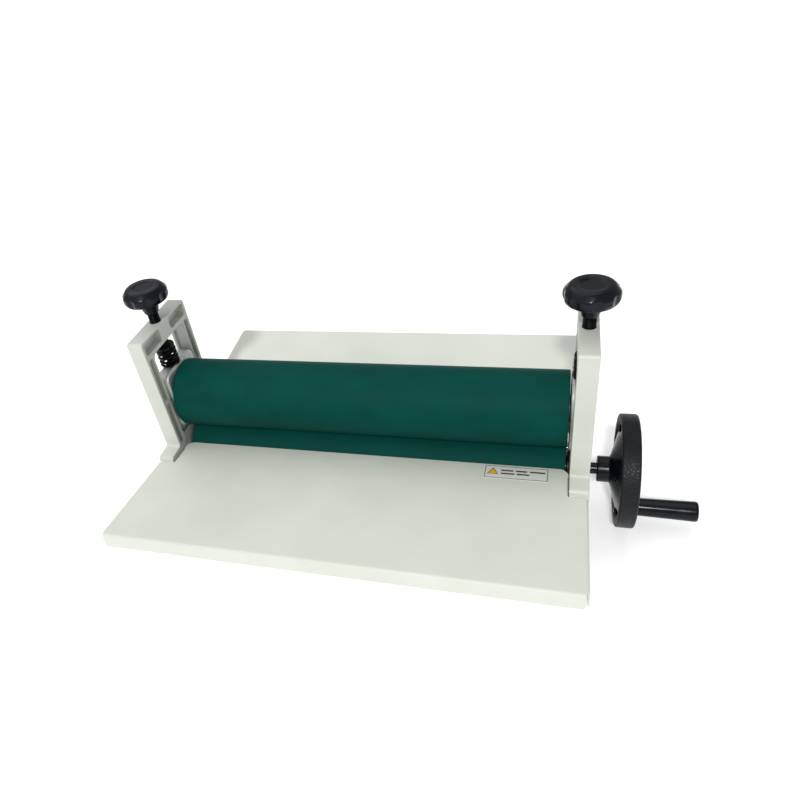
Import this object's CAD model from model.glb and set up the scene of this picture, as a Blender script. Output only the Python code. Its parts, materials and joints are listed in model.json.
import json
import logging
import math
from dataclasses import dataclass
from enum import Enum
from typing import Callable, Optional, Sequence

import bmesh
import bpy
from mathutils import Matrix, Vector, noise

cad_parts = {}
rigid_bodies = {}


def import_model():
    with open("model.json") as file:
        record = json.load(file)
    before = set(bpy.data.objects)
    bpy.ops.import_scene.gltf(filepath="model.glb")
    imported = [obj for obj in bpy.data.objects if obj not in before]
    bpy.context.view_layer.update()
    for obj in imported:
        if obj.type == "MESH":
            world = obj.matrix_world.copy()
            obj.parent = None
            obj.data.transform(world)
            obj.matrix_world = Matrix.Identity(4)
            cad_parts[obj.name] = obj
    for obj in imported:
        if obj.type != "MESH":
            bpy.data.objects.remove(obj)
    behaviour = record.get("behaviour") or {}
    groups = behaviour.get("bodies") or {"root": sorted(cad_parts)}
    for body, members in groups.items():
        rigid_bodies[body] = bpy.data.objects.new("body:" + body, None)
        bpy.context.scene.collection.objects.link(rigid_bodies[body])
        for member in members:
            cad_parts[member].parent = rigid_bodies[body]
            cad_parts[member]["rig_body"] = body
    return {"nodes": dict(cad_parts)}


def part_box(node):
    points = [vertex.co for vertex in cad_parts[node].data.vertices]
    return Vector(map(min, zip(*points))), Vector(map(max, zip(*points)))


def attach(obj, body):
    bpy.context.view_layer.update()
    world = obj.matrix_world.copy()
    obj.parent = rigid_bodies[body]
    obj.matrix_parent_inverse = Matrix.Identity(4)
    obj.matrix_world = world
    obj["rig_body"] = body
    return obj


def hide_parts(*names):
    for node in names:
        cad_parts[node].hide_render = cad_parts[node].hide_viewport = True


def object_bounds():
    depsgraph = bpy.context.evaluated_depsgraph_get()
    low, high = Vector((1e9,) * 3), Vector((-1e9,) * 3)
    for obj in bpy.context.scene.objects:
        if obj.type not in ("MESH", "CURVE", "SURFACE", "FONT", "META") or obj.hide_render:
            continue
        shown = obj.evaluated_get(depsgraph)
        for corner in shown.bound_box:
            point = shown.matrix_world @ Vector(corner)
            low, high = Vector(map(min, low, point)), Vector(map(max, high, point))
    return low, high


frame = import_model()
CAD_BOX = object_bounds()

LOG = logging.getLogger("laminator")
MM = 0.001
Point = tuple[float, float]
Corner = tuple[float, float, float]
Shade = tuple[float, float, float, float]
Swell = Callable[[float, float, float], float]


class Side(Enum):
    """The two ends of the rollers."""

    LEFT = -1
    RIGHT = 1

    @property
    def word(self) -> str:
        """Name of the side as the nodes of the frame spell it."""
        return self.name.lower()


class Axis(Enum):
    """Directions that turned pieces are built round."""

    X = "x"
    Z = "z"


# ---------------------------------------------------------------- shader helpers


def linear(hex_code: str) -> Shade:
    """Turns an sRGB hex colour into linear light.

    Args:
        hex_code: six hex digits, such as "0c483e".

    Returns:
        Red, green, blue and an alpha of one.
    """
    parts = [int(hex_code[i : i + 2], 16) / 255 for i in (0, 2, 4)]
    light = [c / 12.92 if c <= 0.04045 else ((c + 0.055) / 1.055) ** 2.4 for c in parts]
    return (light[0], light[1], light[2], 1.0)


def per_mm(size: float) -> float:
    """Texture scale that repeats once in a real size.

    Args:
        size: size of one cell or grain, in millimetres.

    Returns:
        The scale for a texture whose coordinates are metres.
    """
    return 1000.0 / size


def add_node(
    tree: bpy.types.NodeTree, kind: str, inputs: Optional[dict] = None, **settings: object
) -> bpy.types.Node:
    """Adds one shader node with its settings and links.

    Args:
        tree: the node tree of the material.
        kind: Blender's name of the node type.
        inputs: socket name or number to a value, or to another node's output.
        settings: attributes of the node itself.

    Returns:
        The new node.
    """
    node = tree.nodes.new(kind)
    for name, value in settings.items():
        setattr(node, name, value)
    for key, value in (inputs or {}).items():
        if isinstance(value, bpy.types.NodeSocket):
            tree.links.new(value, node.inputs[key])
        else:
            node.inputs[key].default_value = value
    return node


def place(tree: bpy.types.NodeTree, stretch: Corner = (1, 1, 1)) -> bpy.types.NodeSocket:
    """Coordinates in metres that stay with the piece.

    Args:
        tree: the node tree of the material.
        stretch: factor for X, Y and Z.

    Returns:
        The socket that holds the coordinates.
    """
    where = add_node(tree, "ShaderNodeTexCoord").outputs["Object"]
    return add_node(tree, "ShaderNodeMapping", {"Vector": where, "Scale": stretch}).outputs["Vector"]


def grain(
    tree: bpy.types.NodeTree,
    size: float,
    detail: float = 2.0,
    stretch: Corner = (1, 1, 1),
    rough: float = 0.5,
) -> bpy.types.NodeSocket:
    """Soft random pattern with a real grain size.

    Args:
        tree: the node tree of the material.
        size: grain size in millimetres.
        detail: number of finer layers.
        stretch: factor for X, Y and Z; a small one draws the grain out along that axis.
        rough: weight of the finer layers.

    Returns:
        The socket of the pattern, from 0 to 1.
    """
    inputs = {"Vector": place(tree, stretch), "Scale": per_mm(size), "Detail": detail, "Roughness": rough}
    return add_node(tree, "ShaderNodeTexNoise", inputs).outputs["Fac"]


def spread(
    tree: bpy.types.NodeTree,
    value: bpy.types.NodeSocket,
    low: float,
    high: float,
    start: float = 0.3,
    end: float = 0.7,
) -> bpy.types.NodeSocket:
    """Maps a pattern onto another range.

    Args:
        tree: the node tree of the material.
        value: the pattern.
        low: result where the pattern is at start.
        high: result where the pattern is at end.
        start: lower end of the pattern.
        end: upper end of the pattern.

    Returns:
        The socket of the new value.
    """
    inputs = {"Value": value, "From Min": start, "From Max": end, "To Min": low, "To Max": high}
    return add_node(tree, "ShaderNodeMapRange", inputs).outputs["Result"]


def tint(
    tree: bpy.types.NodeTree, value: bpy.types.NodeSocket, first: str, second: str
) -> bpy.types.NodeSocket:
    """Blends two sRGB colours by a pattern.

    Args:
        tree: the node tree of the material.
        value: the pattern, from 0 to 1.
        first: hex colour where the pattern is 0.
        second: hex colour where the pattern is 1.

    Returns:
        The socket of the colour.
    """
    inputs = {0: value, 6: linear(first), 7: linear(second)}
    return add_node(tree, "ShaderNodeMix", inputs, data_type="RGBA").outputs[2]


def relief(
    tree: bpy.types.NodeTree,
    height: bpy.types.NodeSocket,
    depth: float,
    strength: float = 1.0,
    under: Optional[bpy.types.NodeSocket] = None,
) -> bpy.types.NodeSocket:
    """Bump of a real depth.

    Args:
        tree: the node tree of the material.
        height: the pattern, from 0 to 1.
        depth: depth of the relief in millimetres.
        strength: share of the relief that shows.
        under: normal of another relief that this one lies on.

    Returns:
        The socket of the normal.
    """
    inputs = {"Height": height, "Distance": depth * MM, "Strength": strength}
    if under is not None:
        inputs["Normal"] = under
    return add_node(tree, "ShaderNodeBump", inputs).outputs["Normal"]


# ---------------------------------------------------------------- finishes


@dataclass(frozen=True)
class Finish:
    """A finish: one material, made once and shared by its pieces."""

    name: str

    def shade(self, tree: bpy.types.NodeTree) -> dict:
        """Builds the pattern nodes and gives the inputs of the shader."""
        raise NotImplementedError

    def material(self) -> bpy.types.Material:
        """The finished material, made on first use.

        Returns:
            The material.
        """
        made = bpy.data.materials.get(self.name)
        if made:
            return made
        made = bpy.data.materials.new(self.name)
        made.use_nodes = True
        tree = made.node_tree
        tree.nodes.clear()
        shader = add_node(tree, "ShaderNodeBsdfPrincipled", self.shade(tree))
        add_node(tree, "ShaderNodeOutputMaterial", {"Surface": shader.outputs["BSDF"]})
        return made


@dataclass(frozen=True)
class StoveEnamel(Finish):
    """Sprayed and baked white enamel: soft orange peel over the sand texture of the casting."""

    light: str = "cacdc4"
    shadow: str = "c2c6bc"
    peel_mm: float = 2.6
    sand_mm: float = 0.8

    def shade(self, tree: bpy.types.NodeTree) -> dict:
        """Slow colour drift, orange peel and a little sand showing through."""
        drift = spread(tree, grain(tree, 38, 3), 0, 1)
        sand = relief(tree, grain(tree, self.sand_mm), 0.02, 0.4)
        return {
            "Base Color": tint(tree, drift, self.light, self.shadow),
            "Roughness": spread(tree, grain(tree, 9), 0.36, 0.48),
            "Normal": relief(tree, grain(tree, self.peel_mm, 1), 0.05, 0.5, sand),
            "IOR": 1.5,
        }


@dataclass(frozen=True)
class PowderCoat(Finish):
    """White polyester powder coat on sheet steel: even, with a fine grain that softens every highlight."""

    light: str = "d5d8ce"
    shadow: str = "cdd1c6"
    grain_mm: float = 0.9

    def shade(self, tree: bpy.types.NodeTree) -> dict:
        """Fine grain over slightly uneven sheet, with faint rub marks along the feed direction."""
        rub = grain(tree, 5, 4, (4.0, 0.25, 1.0), 0.6)
        drift = spread(tree, grain(tree, 70, 3), 0, 1)
        uneven = relief(tree, grain(tree, 45, 1), 0.25, 0.2)
        return {
            "Base Color": tint(tree, drift, self.light, self.shadow),
            "Roughness": spread(tree, rub, 0.42, 0.54),
            "Normal": relief(tree, grain(tree, self.grain_mm), 0.03, 0.35, uneven),
            "IOR": 1.5,
        }


@dataclass(frozen=True)
class GroundRubber(Finish):
    """Nitrile rubber ground to size on a lathe: satin dark green with fine rings from the wheel."""

    light: str = "03453d"
    dark: str = "023c35"
    ring_mm: float = 0.9

    def shade(self, tree: bpy.types.NodeTree) -> dict:
        """Grinding rings, a cloudy tone and a faint bloom."""
        rings = grain(tree, self.ring_mm, 2, (1.0, 0.02, 0.02))
        cloud = spread(tree, grain(tree, 22, 4, (0.5, 1.0, 1.0)), 0, 1)
        return {
            "Base Color": tint(tree, cloud, self.dark, self.light),
            "Roughness": spread(tree, cloud, 0.52, 0.64, 0, 1),
            "Normal": relief(tree, rings, 0.015, 0.5),
            "IOR": 1.5,
            "Specular IOR Level": 0.05,
        }


@dataclass(frozen=True)
class MouldedPlastic(Finish):
    """Black moulding: near-black with a slight cool cast, as smooth or dull as its tool was."""

    light: str = "0e131b"
    dark: str = "090d14"
    rough_low: float = 0.24
    rough_high: float = 0.34
    stipple_mm: float = 1.2
    stipple_depth: float = 0.01
    shine: float = 0.2

    def shade(self, tree: bpy.types.NodeTree) -> dict:
        """Uneven handling polish over the texture of the mould."""
        polish = spread(tree, grain(tree, 11, 3), 0, 1)
        return {
            "Base Color": tint(tree, polish, self.dark, self.light),
            "Roughness": spread(tree, polish, self.rough_low, self.rough_high, 0, 1),
            "Normal": relief(tree, grain(tree, self.stipple_mm), self.stipple_depth, 0.6),
            "IOR": 1.5,
            "Specular IOR Level": self.shine,
        }


@dataclass(frozen=True)
class LeatherGrainPlastic(Finish):
    """Black moulding with an etched leather grain: small pebbles with polished tops and dull creases."""

    pebble_mm: float = 1.9
    top: str = "0d1118"
    crease: str = "05070a"

    def shade(self, tree: bpy.types.NodeTree) -> dict:
        """Pebbles, with darker and duller creases between them."""
        inputs = {"Vector": place(tree), "Scale": per_mm(self.pebble_mm), "Randomness": 1.0}
        cells = add_node(tree, "ShaderNodeTexVoronoi", inputs, feature="DISTANCE_TO_EDGE")
        tops = spread(tree, cells.outputs["Distance"], 0, 1, 0.0, 0.22)
        lumps = relief(tree, grain(tree, self.pebble_mm * 2.2), 0.2, 0.5)
        return {
            "Base Color": tint(tree, tops, self.crease, self.top),
            "Roughness": spread(tree, tops, 0.6, 0.38, 0, 1),
            "Normal": relief(tree, tops, 0.12, 0.8, lumps),
            "IOR": 1.5,
            "Specular IOR Level": 0.25,
        }


@dataclass(frozen=True)
class Metal(Finish):
    """Bare, plated or blackened metal. Tool marks and tarnish break up its reflections."""

    light: str = "c4c6c8"
    dark: str = "a9abae"
    rough_low: float = 0.22
    rough_high: float = 0.38
    mark_mm: float = 0.5
    stretch: Corner = (1.0, 1.0, 1.0)
    mark_depth: float = 0.01

    def shade(self, tree: bpy.types.NodeTree) -> dict:
        """Tool marks and a slight tarnish."""
        tarnish = spread(tree, grain(tree, 6, 3), 0, 1)
        marks = grain(tree, self.mark_mm, 2, self.stretch)
        return {
            "Base Color": tint(tree, tarnish, self.dark, self.light),
            "Metallic": 1.0,
            "Roughness": spread(tree, tarnish, self.rough_low, self.rough_high, 0, 1),
            "Normal": relief(tree, marks, self.mark_depth, 0.5),
        }


@dataclass(frozen=True)
class PrintedFilm(Finish):
    """Printed polyester film: flat ink under a clear, slightly wavy surface."""

    ink: str = "dcdcd6"
    worn: str = "d2d2cc"

    def shade(self, tree: bpy.types.NodeTree) -> dict:
        """Ink with a little uneven wear."""
        wear = spread(tree, grain(tree, 3, 3), 0, 1)
        return {
            "Base Color": tint(tree, wear, self.ink, self.worn),
            "Roughness": spread(tree, wear, 0.3, 0.42, 0, 1),
            "Normal": relief(tree, grain(tree, 7, 1), 0.03, 0.3),
            "IOR": 1.5,
        }


@dataclass(frozen=True)
class StudioBoard(Finish):
    """White matt board, lit a little from behind, with the faintest mottling."""

    light: str = "fbfbfb"
    dark: str = "f8f8f8"
    glow: float = 0.25

    def shade(self, tree: bpy.types.NodeTree) -> dict:
        """Even and matt."""
        return {
            "Base Color": tint(tree, grain(tree, 300), self.light, self.dark),
            "Roughness": 0.9,
            "Specular IOR Level": 0.1,
            "Emission Color": linear(self.light),
            "Emission Strength": self.glow,
        }


ENAMEL = StoveEnamel("stove_enamel_on_cast_iron")
POWDER = PowderCoat("powder_coat_on_sheet_steel")
GREEN_RUBBER = GroundRubber("ground_nitrile_rubber")
# Tumbled phenolic: a small, sharp window of light on each shoulder
KNOB_PLASTIC = MouldedPlastic("tumbled_phenolic_moulding", rough_low=0.18, rough_high=0.26)
# The smoothest moulding: one thin bright line along the grip
GRIP_PLASTIC = MouldedPlastic(
    "polished_phenolic_moulding", rough_low=0.14, rough_high=0.22, stipple_depth=0.004
)
# Hub and web: as moulded, a little duller than the grip, with a clear bar of light along the hub
WEB_PLASTIC = MouldedPlastic("phenolic_moulding_as_moulded", rough_low=0.2, rough_high=0.3)
RIM_PLASTIC = LeatherGrainPlastic("leather_grain_phenolic_moulding")
# Matt and slightly brown, like any foot that has stood on a bench
FOOT_RUBBER = MouldedPlastic(
    "moulded_black_rubber", light="1d1d1d", dark="131312", rough_low=0.7, rough_high=0.85, stipple_depth=0.03
)
# Dark brown-black steel that still mirrors a little
BLACK_OXIDE = Metal("black_oxide_steel", light="2c2c2e", dark="19191b", rough_low=0.3, rough_high=0.45)
# Spring wire is blackened too, but drawn smooth along its length
SPRING_STEEL = Metal("blackened_spring_wire", light="232325", dark="151517", rough_low=0.28, rough_high=0.4)
# Rings from the grinding wheel stretch the light across the shaft
GROUND_STEEL = Metal("ground_steel", mark_mm=0.4, stretch=(1.0, 0.05, 0.05))
# The same rings under an oiled black oxide, so that only glints are bright
OILED_STEEL = Metal(
    "oiled_black_oxide_shaft", light="3a3a3c", dark="1c1c1e", rough_low=0.18, rough_high=0.3, mark_mm=0.4,
    stretch=(1.0, 0.05, 0.05),
)
NICKEL_PLATE = Metal("nickel_plated_steel", light="c9cacb", dark="b4b5b7", rough_low=0.16, rough_high=0.3)
ZINC_PLATE = Metal("zinc_plated_steel", light="c6cacd", dark="a4aab0", rough_low=0.25, rough_high=0.42)
# Pressed from grains and soaked with oil: open pores, hardly any mirror, and brown gone nearly black
BRONZE = Metal(
    "oil_soaked_sintered_bronze", light="5a4630", dark="33281c", rough_low=0.4, rough_high=0.55, mark_mm=0.7,
    mark_depth=0.03,
)
# Shot-blasted casting: pale grey, soft and even
DIE_CAST = Metal(
    "blasted_die_cast_aluminium", light="dadbd8", dark="c6c8c4", rough_low=0.55, rough_high=0.68, mark_mm=0.9,
    mark_depth=0.04,
)
LABEL_FILM = PrintedFilm("printed_polyester_film")
BLACK_INK = PrintedFilm("black_screen_ink", ink="2c2c2c", worn="3c3c3c")
GREY_INK = PrintedFilm("grey_screen_ink", ink="3c3e3c", worn="4c4e4c")
YELLOW_INK = PrintedFilm("yellow_screen_ink", ink="e8bc10", worn="dcae10")
STUDIO_BOARD = StudioBoard("white_studio_board")


# ---------------------------------------------------------------- mesh helpers


def shaded(piece: bpy.types.Object, finish: Finish, crease: float = 38.0) -> bpy.types.Object:
    """Gives a piece its finish, smooth shading and hard edges.

    Args:
        piece: the object.
        finish: its finish.
        crease: edges sharper than this many degrees stay hard.

    Returns:
        The same object.
    """
    mesh = piece.data
    mesh.materials.clear()
    mesh.materials.append(finish.material())
    work = bmesh.new()
    work.from_mesh(mesh)
    bmesh.ops.recalc_face_normals(work, faces=work.faces)
    for face in work.faces:
        face.smooth = True
        face.material_index = 0
    for edge in work.edges:
        edge.smooth = len(edge.link_faces) != 2 or edge.calc_face_angle(0) < math.radians(crease)
    work.to_mesh(mesh)
    work.free()
    return piece


def new_piece(name: str, verts: Sequence, faces: Sequence, finish: Finish) -> bpy.types.Object:
    """Makes a piece from points and faces.

    Args:
        name: the name of the piece.
        verts: points in metres.
        faces: point numbers of each face.
        finish: the finish of the whole piece.

    Returns:
        The object.
    """
    mesh = bpy.data.meshes.new(name)
    mesh.from_pydata([tuple(v) for v in verts], [], [tuple(f) for f in faces])
    mesh.validate()
    piece = bpy.data.objects.new(name, mesh)
    bpy.context.scene.collection.objects.link(piece)
    return shaded(piece, finish)


def rounded(corners: Sequence[Corner], steps: int = 6) -> list[Point]:
    """Replaces the corners of an outline with arcs.

    Args:
        corners: (radius, along, fillet) of each corner in millimetres; a fillet of 0 keeps the corner.
        steps: number of chords in an arc.

    Returns:
        The points of the outline, in metres. The first and last corner stay as they are.
    """
    made: list[Point] = []
    for i, (a, b, fillet) in enumerate(corners):
        here = Vector((a, b))
        if fillet <= 0 or i in (0, len(corners) - 1):
            made.append((a * MM, b * MM))
            continue
        back = (Vector(corners[i - 1][:2]) - here).normalized()
        on = (Vector(corners[i + 1][:2]) - here).normalized()
        half = back.angle(on) / 2
        centre = here + (back + on).normalized() * (fillet / math.sin(half))
        first = here + back * (fillet / math.tan(half)) - centre
        last = here + on * (fillet / math.tan(half)) - centre
        sweep = math.atan2(first.x * last.y - first.y * last.x, first.dot(last))
        for k in range(steps + 1):
            c, s = math.cos(sweep * k / steps), math.sin(sweep * k / steps)
            point = centre + Vector((first.x * c - first.y * s, first.x * s + first.y * c))
            made.append((point.x * MM, point.y * MM))
    return made


def turned(
    name: str,
    outline: Sequence[Point],
    axis: Axis,
    centre: Vector,
    finish: Finish,
    turns: int = 128,
    closed: bool = False,
    swell: Optional[Swell] = None,
) -> bpy.types.Object:
    """Turns an outline round an axis, as on a lathe.

    Args:
        name: the name of the piece.
        outline: (radius, distance along the axis) points, in metres.
        axis: direction of the axis.
        centre: a point on the axis, from which the distances count.
        finish: the finish.
        turns: number of steps round the axis.
        closed: joins the last point to the first, for a ring.
        swell: gives the radius from (angle, radius, distance), for shapes that aren't quite round.

    Returns:
        The piece.
    """
    verts: list[Vector] = []
    faces: list[list[int]] = []
    rows: list[list[int]] = []
    for radius, along in outline:
        row = []
        for k in range(1 if radius < 1e-7 else turns):
            angle = 2 * math.pi * k / turns
            reach = swell(angle, radius, along) if swell else radius
            c, s = reach * math.cos(angle), reach * math.sin(angle)
            row.append(len(verts))
            verts.append(centre + (Vector((along, c, s)) if axis is Axis.X else Vector((c, s, along))))
        rows.append(row)
    for low, high in zip(rows, rows[1:] + (rows[:1] if closed else [])):
        for k in range(turns):
            ring = (low[k % len(low)], low[(k + 1) % len(low)], high[(k + 1) % len(high)], high[k % len(high)])
            face = list(dict.fromkeys(ring))
            if len(face) > 2:
                faces.append(face)
    return new_piece(name, verts, faces, finish)


def extruded(
    name: str, outline: Sequence[Vector], way: Vector, finish: Finish
) -> bpy.types.Object:
    """Extrudes a flat outline.

    Args:
        name: the name of the piece.
        outline: the points of the outline, in metres.
        way: direction and length of the extrusion.
        finish: the finish.

    Returns:
        The piece.
    """
    n = len(outline)
    verts = list(outline) + [point + way for point in outline]
    faces = [list(range(n)), list(range(n, 2 * n))[::-1]]
    faces += [[i, (i + 1) % n, n + (i + 1) % n, n + i] for i in range(n)]
    return new_piece(name, verts, faces, finish)


def soften(piece: bpy.types.Object, edge: float, sharp: float = 40.0, steps: int = 3) -> bpy.types.Object:
    """Rounds the sharp edges of a piece.

    Args:
        piece: the object.
        edge: radius of the edges in millimetres.
        sharp: edges sharper than this many degrees are rounded.
        steps: number of steps across an edge.

    Returns:
        The same object.
    """
    rounding = piece.modifiers.new("edges", "BEVEL")
    rounding.width = edge * MM
    rounding.segments = steps
    rounding.limit_method = "ANGLE"
    rounding.angle_limit = math.radians(sharp)
    rounding.harden_normals = True
    rounding.use_clamp_overlap = False
    return piece


def cut_away(piece: bpy.types.Object, cutters: Sequence[bpy.types.Object]) -> bpy.types.Object:
    """Cuts solids out of a piece and removes the cutters.

    Args:
        piece: the object.
        cutters: closed solids.

    Returns:
        The same object.
    """
    for cutter in cutters:
        cut = piece.modifiers.new("cut", "BOOLEAN")
        cut.operation = "DIFFERENCE"
        cut.object = cutter
        cut.solver = "EXACT"
    seen = bpy.context.evaluated_depsgraph_get()
    mesh = bpy.data.meshes.new_from_object(piece.evaluated_get(seen))
    piece.modifiers.clear()
    piece.data = mesh
    for cutter in cutters:
        bpy.data.objects.remove(cutter)
    return piece


def grained(piece: bpy.types.Object, cell: float, depth: float) -> bpy.types.Object:
    """Presses a leather grain into a fine mesh, from its surface inwards.

    Args:
        piece: the object.
        cell: size of the pebbles in millimetres.
        depth: depth of the creases in millimetres.

    Returns:
        The same object.
    """
    mesh = piece.data
    normals = [v.normal.copy() for v in mesh.vertices]
    for vertex, normal in zip(mesh.vertices, normals):
        near = noise.voronoi(vertex.co * per_mm(cell))[0]
        crease = max(0.0, 1 - (near[1] - near[0]) / 0.35)
        vertex.co -= normal * (depth * MM * (0.15 + 0.85 * crease * crease))
    mesh.update()
    return piece


def settle(piece: bpy.types.Object, *nodes: str) -> bpy.types.Object:
    """Puts a piece in the place of CAD nodes: it rides on their body and takes their slot.

    Args:
        piece: the object.
        nodes: the CAD nodes it replaces; the first gives its body and slot.

    Returns:
        The same object.
    """
    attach(piece, frame["nodes"][nodes[0]]["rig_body"])
    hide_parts(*nodes)
    LOG.info("%s stands for %s", piece.name, ", ".join(nodes))
    return piece


def worked_copy(
    node: str, finish: Finish, edge: float, sharp: float = 40.0, steps: int = 3
) -> bpy.types.Object:
    """Copies the shape of a CAD node and works its edges over.

    Args:
        node: the CAD node, which the copy replaces.
        finish: the finish of the copy.
        edge: radius of its edges in millimetres.
        sharp: edges sharper than this many degrees are rounded.
        steps: number of steps across an edge.

    Returns:
        The piece, riding on the body of the node.
    """
    weld = 2e-5
    work = bmesh.new()
    work.from_mesh(frame["nodes"][node].data)
    bmesh.ops.remove_doubles(work, verts=work.verts, dist=weld)
    bmesh.ops.dissolve_limit(work, angle_limit=math.radians(0.8), verts=work.verts, edges=work.edges)
    work.verts.index_update()
    verts = [v.co.copy() for v in work.verts]
    faces = [[v.index for v in face.verts] for face in work.faces]
    work.free()
    piece = new_piece(node + "_body", verts, faces, finish)
    return settle(soften(piece, edge, sharp, steps), node)


def middle(node: str) -> Vector:
    """Centre of the box of a CAD node at rest."""
    low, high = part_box(node)
    return (low + high) / 2


# ---------------------------------------------------------------- sub-assemblies


@dataclass
class Frame:
    """Side castings, tables, tie bars, bushes and feet: all that stands still."""

    casting_edge: float = 0.65
    sheet_edge: float = 0.3
    screw_head_r: float = 5.15
    screw_head_h: float = 6.0
    knurl_over: float = 0.15
    knurl_depth: float = 0.25
    knurls: int = 44

    def build(self) -> None:
        """Builds and dresses the frame from its castings outwards."""
        for side in Side:
            worked_copy(side.word + "_casting", ENAMEL, self.casting_edge)
            worked_copy(side.word + "_lower_bush", BRONZE, 0.25)
        for where in ("front", "rear"):
            worked_copy(where + "_table", POWDER, self.sheet_edge, steps=2)
            worked_copy(where + "_tie_bar", NICKEL_PLATE, 0.4)
            for side in Side:
                worked_copy(f"foot_{where}_{side.word}", FOOT_RUBBER, 0.6)
        worked_copy("tie_bar_screws", BLACK_OXIDE, 0.35, steps=2)
        worked_copy("table_screws", ZINC_PLATE, 0.25, steps=2)
        worked_copy("foot_screws", ZINC_PLATE, 0.25, steps=2)
        self.dress_screw_heads()

    def dress_screw_heads(self) -> None:
        """Adds the knurled rings of the socket heads in the counterbores of the castings."""
        low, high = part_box("tie_bar_screws")
        reach, rise = high.y - (self.screw_head_r - self.knurl_over) * MM, (low.z + high.z) / 2
        for side in Side:
            for where, depth in (("front", -1), ("rear", 1)):
                r, h = self.screw_head_r, self.screw_head_h
                corners = [(r - 0.5, -h + 0.1, 0), (r, -h + 0.1, 0.05), (r, -1.2, 0.3), (r - 0.5, -0.7, 0)]
                outline = rounded(corners)
                centre = Vector((high.x, depth * reach, rise))
                ring = turned(
                    f"knurl_{where}_{side.word}", outline, Axis.X, centre, BLACK_OXIDE, 4 * self.knurls, True,
                    self.knurl,
                )
                if side is Side.LEFT:
                    ring.data.transform(Matrix.Scale(-1, 4, (1, 0, 0)))
                    shaded(ring, BLACK_OXIDE)
                settle(ring, "tie_bar_screws")

    def knurl(self, angle: float, radius: float, along: float) -> float:
        """Radius of the knurled ring."""
        if radius < self.screw_head_r * MM - 1e-6:
            return radius
        return radius - self.knurl_depth * MM * (0.5 + 0.5 * math.cos(angle * self.knurls))


@dataclass
class Label:
    """Generic label on the front table: a printed border, a plain triangle and bars in place of words."""

    tilt: float = 5.5
    film_t: float = 0.25
    ink_t: float = 0.03
    border_in: float = 0.6
    border_w: float = 0.55
    sign_r: float = 5.4
    sign_edge: float = 1.15
    sign_at: Point = (7.2, 8.6)
    bar_h: float = 1.9
    bars: tuple[Corner, ...] = (
        (13.5, 24.0, 6.0), (25.5, 35.0, 6.0), (37.0, 49.5, 6.0), (13.5, 25.0, 10.0), (26.5, 37.0, 10.0),
    )

    def build(self) -> None:
        """Builds the film and its print in the plane of the front table."""
        node = "table_label"
        worked_copy(node, LABEL_FILM, 0.06)
        low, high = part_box(node)
        rise = math.radians(self.tilt)
        self.up = Vector((0, math.sin(rise), math.cos(rise)))
        self.near = Vector((0, -math.cos(rise), math.sin(rise)))
        self.width = (high.x - low.x) / MM
        self.depth = ((high.y - low.y) / MM - self.film_t * math.sin(rise)) / math.cos(rise)
        # Far left corner of the printed face
        self.corner = Vector((low.x, high.y, low.z + self.film_t * MM * math.cos(rise)))
        marks: list[tuple[str, list[Point], Finish, int]] = []
        i, o, w, d = self.border_in, self.border_in + self.border_w, self.width, self.depth
        for n, (x0, y0, x1, y1) in enumerate(
            ((i, i, w - i, o), (i, d - o, w - i, d - i), (i, o, o, d - o), (w - o, o, w - i, d - o))
        ):
            marks.append((f"label_border_{n}", [(x0, y0), (x1, y0), (x1, y1), (x0, y1)], BLACK_INK, 0))
        for n, (x0, x1, y) in enumerate(self.bars):
            marks.append((f"label_bar_{n}", self.pill(x0, x1, y), GREY_INK, 0))
        marks.append(("label_sign_edge", self.triangle(self.sign_r), BLACK_INK, 0))
        marks.append(("label_sign", self.triangle(self.sign_r - self.sign_edge), YELLOW_INK, 1))
        for name, outline, ink, layer in marks:
            settle(self.printed(name, outline, ink, layer), node)

    def pill(self, x0: float, x1: float, y: float) -> list[Point]:
        """Round-ended bar from x0 to x1, in millimetres."""
        r, steps = self.bar_h / 2, 8
        right = [(x1 - r + r * math.sin(math.pi * k / steps), y - r * math.cos(math.pi * k / steps))
                 for k in range(steps + 1)]
        return right + [(x0 + x1 - x, 2 * y - v) for x, v in right]

    def triangle(self, radius: float) -> list[Point]:
        """Triangle that points away from the operator, in millimetres."""
        x, y = self.sign_at
        turns = (0, 2 * math.pi / 3, 4 * math.pi / 3)
        return [(x + radius * math.sin(t), y - radius * math.cos(t)) for t in turns]

    def printed(self, name: str, outline: Sequence[Point], ink: Finish, layer: int) -> bpy.types.Object:
        """Prints one layer of ink.

        Args:
            name: the name of the piece.
            outline: (right, towards the operator) points in millimetres, from the far left corner.
            ink: the ink.
            layer: number of layers below it.

        Returns:
            The piece.
        """
        foot = self.corner + self.up * (layer * self.ink_t * MM)
        points = [foot + Vector((x * MM, 0, 0)) + self.near * (y * MM) for x, y in outline]
        return extruded(name, points, self.up * (self.ink_t * MM), ink)


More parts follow.
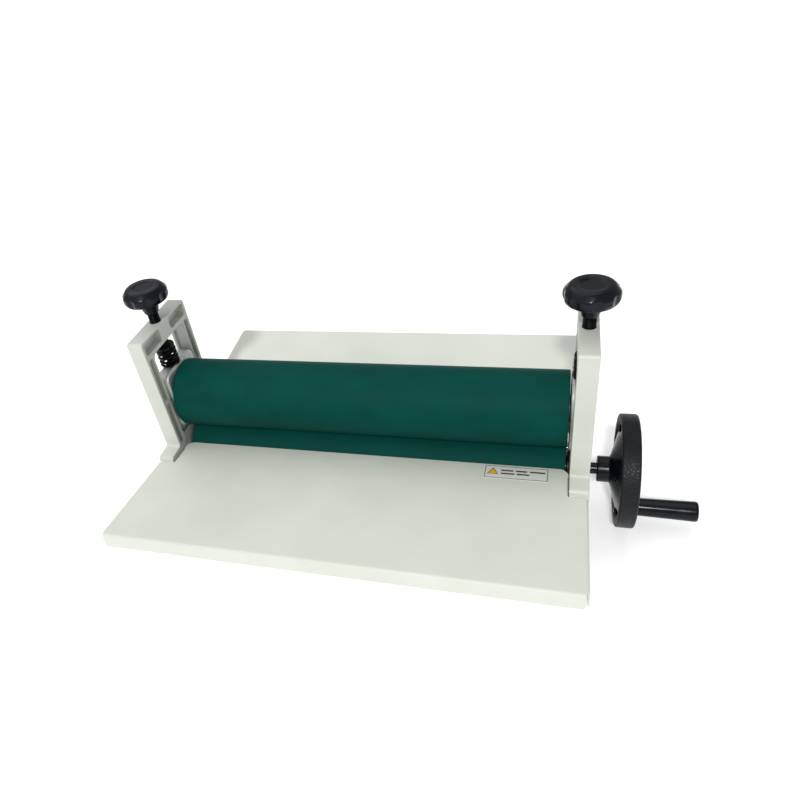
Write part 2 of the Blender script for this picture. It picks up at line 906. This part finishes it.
@dataclass
class Roller:
    """One rubber-covered roller: tube, rubber sleeve and stub shafts."""

    level: str
    edge: float = 1.1
    lip_dip: float = 0.35

    def build(self) -> None:
        """Builds the rubber sleeve and dresses the steel inside it."""
        node = f"{self.level}_roller_sleeve"
        tube = f"{self.level}_roller_tube"
        low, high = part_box(node)
        bore = (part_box(tube)[1].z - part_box(tube)[0].z) / 2 / MM + 0.03
        half, r = high.x / MM, (high.y - low.y) / 2 / MM
        dip = self.lip_dip
        outline = rounded([
            (bore, half - dip, 0), (bore + 1.6, half - dip, 0.3), (bore + 2.2, half, 0.4), (r, half, self.edge),
            (r, half - 6, 0),
        ])
        along = [(r * MM, x * MM) for x in range(int(half) - 12, -int(half) + 11, -6)]
        mirror = [(a, -b) for a, b in reversed(outline)]
        centre = Vector((0, middle(node).y, middle(node).z))
        sleeve = turned(node + "_body", outline + along + mirror, Axis.X, centre, GREEN_RUBBER, 192, True)
        settle(sleeve, node)
        worked_copy(tube, GROUND_STEEL, 0.3)
        if self.level == "upper":
            for side in Side:
                worked_copy(f"upper_{side.word}_stub", GROUND_STEEL, 0.5)
        else:
            worked_copy("lower_left_stub", GROUND_STEEL, 0.4)
            worked_copy("lower_crank_shaft", OILED_STEEL, 0.4)
            worked_copy("lower_shaft_clip", BLACK_OXIDE, 0.15, steps=2)


@dataclass
class Carriage:
    """Bearing block, bush and pressure spring at one end of the upper roller."""

    side: Side
    block_edge: float = 0.9
    wire_r: float = 1.3
    coil_turns: float = 5.0
    end_turns: float = 0.7
    steps: int = 40
    wire_sides: int = 16

    def build(self) -> None:
        """Builds the spring and dresses the block and its bush."""
        worked_copy(self.side.word + "_bearing_block", DIE_CAST, self.block_edge)
        worked_copy(self.side.word + "_upper_bush", BRONZE, 0.3)
        node = self.side.word + "_pressure_spring"
        low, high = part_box(node)
        self.base = Vector((middle(node).x, middle(node).y, low.z))
        self.length = (high.z - low.z) / MM
        self.coil_r = (high.x - low.x) / 2 / MM - self.wire_r
        settle(self.spring(node + "_body"), node)

    def rise(self, turn: float) -> float:
        """Height of the wire's middle in millimetres: flat ends and an even pitch between them."""
        closed_rise = 0.06 * self.length
        share = min(max((turn - self.end_turns) / (self.coil_turns - 2 * self.end_turns), 0.0), 1.0)
        share = share * share * (3 - 2 * share) * 0.35 + share * 0.65
        open_rise = self.length - 2 * self.wire_r - closed_rise
        return self.wire_r + closed_rise * turn / self.coil_turns + open_rise * share

    def spring(self, name: str) -> bpy.types.Object:
        """Winds the spring.

        Args:
            name: the name of the piece.

        Returns:
            The piece.
        """
        count = int(self.coil_turns * self.steps)
        rings, sides = count + 1, self.wire_sides
        verts: list[Vector] = []
        for i in range(rings):
            turn = i / self.steps
            a = 2 * math.pi * turn
            out = Vector((math.cos(a), math.sin(a), 0))
            heart = self.base + out * (self.coil_r * MM) + Vector((0, 0, self.rise(turn) * MM))
            for k in range(sides):
                b = 2 * math.pi * k / sides
                way = out * math.cos(b) + Vector((0, 0, math.sin(b)))
                verts.append(heart + way * (self.wire_r * MM))
        faces = [
            [i * sides + k, i * sides + (k + 1) % sides, (i + 1) * sides + (k + 1) % sides, (i + 1) * sides + k]
            for i in range(count)
            for k in range(sides)
        ]
        faces += [list(range(sides))[::-1], [count * sides + k for k in range(sides)]]
        return new_piece(name, verts, faces, SPRING_STEEL)


@dataclass
class PressureScrew:
    """Threaded pressure screw with its collar, retaining clip and star knob."""

    side: Side
    pitch: float = 1.5
    thread_depth: float = 0.85
    row_step: float = 0.15
    lobes: int = 8
    flute_r: float = 8.0
    flute_depth: float = 1.35
    flute_phase: float = 10.0
    arris: float = 0.9

    def build(self) -> None:
        """Builds the thread and the knob, and dresses the collar and the clip."""
        word = self.side.word
        worked_copy(word + "_screw_collar", BLACK_OXIDE, 0.6)
        worked_copy(word + "_screw_clip", BLACK_OXIDE, 0.15, steps=2)
        self.build_screw(word + "_pressure_screw", word + "_screw_collar", word + "_screw_clip")
        self.build_knob(word + "_star_knob")

    def build_screw(self, node: str, collar: str, clip: str) -> None:
        """Builds the screw: plain tip with a groove for the clip, then the thread up into the knob.

        Args:
            node: the CAD node of the screw.
            collar: the CAD node of its collar.
            clip: the CAD node of its retaining clip.
        """
        low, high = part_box(node)
        r = (high.x - low.x) / 2 / MM
        tip, groove = r - 2, r - 3
        z0, c0, c1 = low.z / MM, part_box(clip)[0].z / MM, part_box(clip)[1].z / MM
        start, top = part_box(collar)[1].z / MM - 0.5, high.z / MM
        self.major, self.thread_from = r, start + 0.6
        outline = rounded([
            (0, z0, 0), (tip, z0, 0.6), (tip, c0, 0), (groove, c0, 0), (groove, c1, 0), (tip, c1, 0),
            (tip, start - 4, 0), (r, start - 3.2, 0), (r, start, 0),
        ])
        rows = int((top - start) / self.row_step)
        outline += [(r * MM, (start + (top - start) * (k + 1) / rows) * MM) for k in range(rows)]
        outline.append((0, top * MM))
        centre = Vector((middle(node).x, middle(node).y, 0))
        screw = turned(node + "_body", outline, Axis.Z, centre, BLACK_OXIDE, 72, False, self.thread)
        settle(screw, node)

    def thread(self, angle: float, radius: float, along: float) -> float:
        """Radius of the screw where its right-hand thread winds up."""
        z = along / MM
        if z < self.thread_from or radius < (self.major - 0.01) * MM:
            return radius
        phase = (z / self.pitch - angle / (2 * math.pi)) % 1.0
        wave = abs(2 * phase - 1)
        depth = min(max((wave - 0.1) / 0.75, 0.0), 1.0) * self.thread_depth
        return radius - depth * MM * min(1.0, (z - self.thread_from) / self.pitch)

    def build_knob(self, node: str) -> None:
        """Builds the star knob: dished top, round shoulders, fluted side and tapered neck.

        Args:
            node: the CAD node of the knob.
        """
        low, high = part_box(node)
        r, h = (high.x - low.x) / 2 / MM, (high.z - low.z) / MM
        self.knob_r = r
        # Heights count down from the top of the knob
        head, dish = 17.0, 1.7
        outline = rounded([
            (0, -dish, 0), (8.0, -dish, 1.0), (10.2, -0.35, 1.2), (12.2, 0, 1.5), (15.4, -0.2, 5.5),
            (r, -5.6, 4.0),
            (r, -10.2, 3.0), (r - 1.4, -13.2, 2.0), (11.2, -head + 0.2, 1.2), (8.8, -head - 0.4, 0.6),
            (7.6, -h + 4.5, 2.0), (6.4, -h, 0.5), (5.06, -h, 0),
        ], 7)
        dense: list[Point] = []
        for (a0, b0), (a1, b1) in zip(outline, outline[1:]):
            parts = max(1, int(math.hypot(a1 - a0, b1 - b0) / (0.8 * MM)))
            dense += [(a0 + (a1 - a0) * k / parts, b0 + (b1 - b0) * k / parts) for k in range(parts)]
        dense.append(outline[-1])
        dense.append((5.06 * MM, (-h + 6) * MM))
        centre = Vector((middle(node).x, middle(node).y, high.z))
        knob = turned(node + "_body", dense, Axis.Z, centre, KNOB_PLASTIC, 320, False, self.flute)
        settle(knob, node)

    def flute(self, angle: float, radius: float, along: float) -> float:
        """Radius of the knob where the flutes cut into it, with rounded arrises."""
        step = 2 * math.pi / self.lobes
        turn = math.radians(self.flute_phase) * self.side.value
        off = (angle - turn + step / 2) % step - step / 2
        far = self.knob_r + self.flute_r - self.flute_depth
        inside = self.flute_r**2 - (far * math.sin(off)) ** 2
        if inside <= 0:
            return radius
        cut = far * math.cos(off) - math.sqrt(inside)
        share = min(max(0.5 + 0.5 * (cut - radius / MM) / self.arris, 0.0), 1.0)
        blend = cut + (radius / MM - cut) * share - self.arris * share * (1 - share)
        return blend * MM


@dataclass
class Handwheel:
    """Handwheel: leather-grained rim, dished web with kidney windows, hub, and the boss of the grip."""

    rim_t: float = 7.5
    rim_w: float = 14.4
    hub_r: float = 11.2
    hub_len: float = 10.0
    shaft_r: float = 5.02
    web_t: float = 4.0
    windows: int = 4
    window_turn: float = -32.0
    window_pitch_r: float = 36.6
    window_half_w: float = 4.0
    window_half_angle: float = 13.0
    boss_r: float = 8.5
    nut_room_r: float = 5.4
    pebble: float = 1.9
    grain_depth: float = 0.1
    rim_steps: int = 640

    def build(self) -> None:
        """Builds the wheel round the crank shaft."""
        node = "handwheel"
        low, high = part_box(node)
        self.r = (high.y - low.y) / 2 / MM
        self.x0, self.x1 = low.x / MM, high.x / MM
        self.rim_x0 = self.x1 - self.rim_w
        self.centre = Vector((0, middle(node).y, middle(node).z))
        grip = middle("grip_spindle") - self.centre
        self.grip_angle = math.atan2(grip.z, grip.y)
        self.grip_at = Vector((0, middle("grip_spindle").y, middle("grip_spindle").z))
        settle(self.rim(), node)
        settle(self.web(), node)
        settle(self.boss(), node)
        worked_copy("handwheel_set_screw", BLACK_OXIDE, 0.2, steps=2)

    def rim(self) -> bpy.types.Object:
        """Rim with its leather grain.

        Returns:
            The piece.
        """
        inner, outer, x0, x1 = self.r - self.rim_t, self.r, self.rim_x0, self.x1
        corners = [(inner, x0 + 5, 0), (inner, x0, 2.2), (outer, x0, 1.4), (outer, x1, 2.0), (inner, x1, 2.0),
                   (inner, x0 + 6, 0)]
        outline = rounded(corners, 8)
        fine: list[Point] = []
        for (a0, b0), (a1, b1) in zip(outline, outline[1:]):
            parts = max(1, round(math.hypot(a1 - a0, b1 - b0) / (0.45 * MM)))
            fine += [(a0 + (a1 - a0) * k / parts, b0 + (b1 - b0) * k / parts) for k in range(parts)]
        ring = turned("handwheel_rim", fine, Axis.X, self.centre, RIM_PLASTIC, self.rim_steps, True)
        return grained(ring, self.pebble, self.grain_depth)

    def web(self) -> bpy.types.Object:
        """Web and hub, with the windows and the room for the boss cut out.

        Returns:
            The piece.
        """
        hub, x0, rim = self.hub_r, self.x0, self.rim_x0
        face, inner = x0 + self.hub_len, self.r - self.rim_t
        outline = rounded([
            (0, face + 6.05, 0), (self.shaft_r, face + 6.05, 0), (self.shaft_r, x0 + 0.6, 0),
            (self.shaft_r + 0.6, x0, 0), (hub, x0, 0.9), (hub, face, 1.6), (hub + 2.4, face + 0.9, 4),
            (inner - 4, rim + 1.5, 6), (inner + 0.8, rim + 2, 0), (inner + 0.8, rim + 2 + self.web_t, 0),
            (inner - 6, rim + 2 + self.web_t, 5), (hub - 1, face + 5.5, 2), (hub - 1, face + 7, 0.8),
            (0, face + 7, 0),
        ], 5)
        web = turned("handwheel_web", outline, Axis.X, self.centre, WEB_PLASTIC, 160)
        cutters = [self.window(i) for i in range(self.windows)]
        room = rounded([(0, rim - 4, 0), (self.boss_r - 0.6, rim - 4, 0), (self.boss_r - 0.6, self.x1, 0),
                        (0, self.x1, 0)])
        cutters.append(turned("boss_room", room, Axis.X, self.grip_at, WEB_PLASTIC, 64))
        return soften(shaded(cut_away(web, cutters), WEB_PLASTIC), 0.45, 42)

    def window(self, number: int) -> bpy.types.Object:
        """Cutter of one kidney window.

        Args:
            number: count of the windows, from the grip onwards.

        Returns:
            The cutter.
        """
        half, w, pitch = self.window_half_angle, self.window_half_w, self.window_pitch_r
        points = self.arc((0, 0), pitch + w, -half, half)
        points += self.arc(self.on_pitch(half), w, half, half + 180)[1:-1]
        points += self.arc((0, 0), pitch - w, half, -half)
        points += self.arc(self.on_pitch(-half), w, 180 - half, 360 - half)[1:-1]
        spin = self.grip_angle + math.radians(self.window_turn + number * 360 / self.windows)
        c, s = math.cos(spin), math.sin(spin)
        outline = [
            self.centre + Vector((self.x0 * MM, (y * c - z * s) * MM, (y * s + z * c) * MM)) for y, z in points
        ]
        return extruded(f"window_{number}", outline, Vector(((self.x1 - self.x0 + 5) * MM, 0, 0)), WEB_PLASTIC)

    def on_pitch(self, angle: float) -> Point:
        """Point on the pitch circle of the windows, at an angle in degrees."""
        turn = math.radians(angle)
        return (self.window_pitch_r * math.cos(turn), self.window_pitch_r * math.sin(turn))

    def arc(self, centre: Point, radius: float, first: float, last: float, steps: int = 12) -> list[Point]:
        """Points of an arc.

        Args:
            centre: centre of the arc, in millimetres.
            radius: its radius in millimetres.
            first: angle of its first point in degrees.
            last: angle of its last point in degrees.
            steps: number of chords.

        Returns:
            The points.
        """
        turns = [math.radians(first + (last - first) * k / steps) for k in range(steps + 1)]
        return [(centre[0] + radius * math.cos(t), centre[1] + radius * math.sin(t)) for t in turns]

    def boss(self) -> bpy.types.Object:
        """Boss of the grip's spindle, with the recess of its nut.

        Returns:
            The piece.
        """
        r, x0, x1, room = self.boss_r, self.rim_x0 + 0.3, self.x1 - 0.05, self.nut_room_r
        outline = rounded([
            (3.02, x0 + 5, 0), (room, x0 + 5, 0), (room, x0, 0.5), (r, x0, 1.2), (r, x1, 0.8), (3.6, x1, 0.4),
            (3.02, x1 - 0.6, 0),
        ])
        return turned("handwheel_boss", outline, Axis.X, self.grip_at, WEB_PLASTIC, 96, True)


@dataclass
class CrankGrip:
    """Revolving grip on its spindle, with a domed plug in the end."""

    small_r: float = 7.7
    big_r: float = 8.8
    cap_r: float = 6.2

    def build(self) -> None:
        """Builds the grip and its cap, and dresses the spindle and its nut."""
        low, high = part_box("crank_grip")
        x0, x1 = low.x / MM, high.x / MM
        centre = Vector((0, middle("crank_grip").y, middle("crank_grip").z))
        small, big, cap = self.small_r, self.big_r, self.cap_r
        outline = rounded([
            (3.2, x0 + 4, 0), (3.2, x0, 0), (small - 1.4, x0, 0.4), (small, x0 + 1.5, 1.2),
            (small + 0.1, x0 + 5, 0),
            (big - 0.35, x1 - 13.5, 30), (big, x1 - 2, 3), (big - 0.5, x1 - 0.1, 0.7), (cap + 0.25, x1, 0.3),
            (cap + 0.02, x1 - 0.4, 0), (cap + 0.02, x1 - 3, 0), (3.2, x1 - 3, 0),
        ], 7)
        grip = turned("crank_grip_body", outline, Axis.X, centre, GRIP_PLASTIC, 128, True)
        settle(grip, "crank_grip")
        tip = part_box("grip_cap")[1].x / MM
        dome = rounded([
            (0, x1 - 2.6, 0), (cap - 0.15, x1 - 2.6, 0), (cap - 0.15, x1 - 0.1, 0.5), (cap - 2, tip - 0.05, 4),
            (1.2, tip, 2), (0, tip, 0),
        ], 6)
        plug = turned("grip_cap_body", dome, Axis.X, centre, GRIP_PLASTIC, 96)
        settle(plug, "grip_cap")
        worked_copy("grip_spindle", ZINC_PLATE, 0.3)
        worked_copy("grip_nut", ZINC_PLATE, 0.3)


@dataclass
class Studio:
    """White board, soft lights and the camera."""

    lens: float = 30.056
    sensor: float = 36.0
    shift: Point = (0.07349, 0.004725)
    stand: Corner = (0.163552, -0.450917, 0.470370)
    right: Corner = (0.951613, 0.267001, -0.152130)
    down: Corner = (0.047799, -0.617637, -0.785009)
    ahead: Corner = (-0.303559, 0.739753, -0.600514)
    floor_size: float = 60.0
    world_light: float = 0.42

    def build(self) -> None:
        """Builds the board, the lights and the camera."""
        half, z = self.floor_size / 2, CAD_BOX[0].z
        corners = [Vector((x, y, z)) for x, y in ((-half, -half), (half, -half), (half, half), (-half, half))]
        board = new_piece("studio_board", corners, [(0, 1, 2, 3)], STUDIO_BOARD)
        self.light("key_light", (0.02, -1.0, 0.95), 1.7, 5)
        self.light("top_light", (-0.35, 0.3, 1.0), 1.0, 70)
        self.light("fill_light", (-0.8, -0.7, 0.8), 0.32, 60)
        world = bpy.data.worlds.new("studio")
        world.use_nodes = True
        backdrop = world.node_tree.nodes["Background"]
        backdrop.inputs["Color"].default_value = linear("fbfcff")
        backdrop.inputs["Strength"].default_value = self.world_light
        bpy.context.scene.world = world
        bpy.context.scene.view_settings.view_transform = "Standard"
        self.camera()

    def light(self, name: str, source: Corner, strength: float, spread_angle: float) -> None:
        """Adds one distant soft light.

        Args:
            name: the name of the light.
            source: direction that the light comes from.
            strength: light on a surface that faces it, in watts per square metre.
            spread_angle: apparent size of the light in degrees.
        """
        lamp = bpy.data.lights.new(name, "SUN")
        lamp.energy = strength
        lamp.angle = math.radians(spread_angle)
        holder = bpy.data.objects.new(name, lamp)
        holder.rotation_euler = Vector(source).to_track_quat("Z", "Y").to_euler()
        holder.location = Vector(source).normalized() * 2
        bpy.context.scene.collection.objects.link(holder)
        LOG.info("%s shines from %s", name, source)

    def camera(self) -> None:
        """Adds the camera and makes it the scene's."""
        lens = bpy.data.cameras.new("camera")
        lens.lens, lens.sensor_width = self.lens, self.sensor
        lens.shift_x, lens.shift_y = self.shift
        lens.clip_start, lens.clip_end = 0.01, 50
        holder = bpy.data.objects.new("camera", lens)
        columns = [Vector(self.right), -Vector(self.down), -Vector(self.ahead)]
        turn = Matrix(columns).transposed().to_4x4()
        holder.matrix_world = Matrix.Translation(self.stand) @ turn
        bpy.context.scene.collection.objects.link(holder)
        bpy.context.scene.camera = holder


def main() -> None:
    """Builds the laminator in its studio."""
    logging.basicConfig(level=logging.INFO, format="%(message)s")
    Studio().build()
    Frame().build()
    Label().build()
    for level in ("upper", "lower"):
        Roller(level).build()
    for side in Side:
        Carriage(side).build()
        PressureScrew(side).build()
    Handwheel().build()
    CrankGrip().build()


if __name__ == "__main__":
    main()
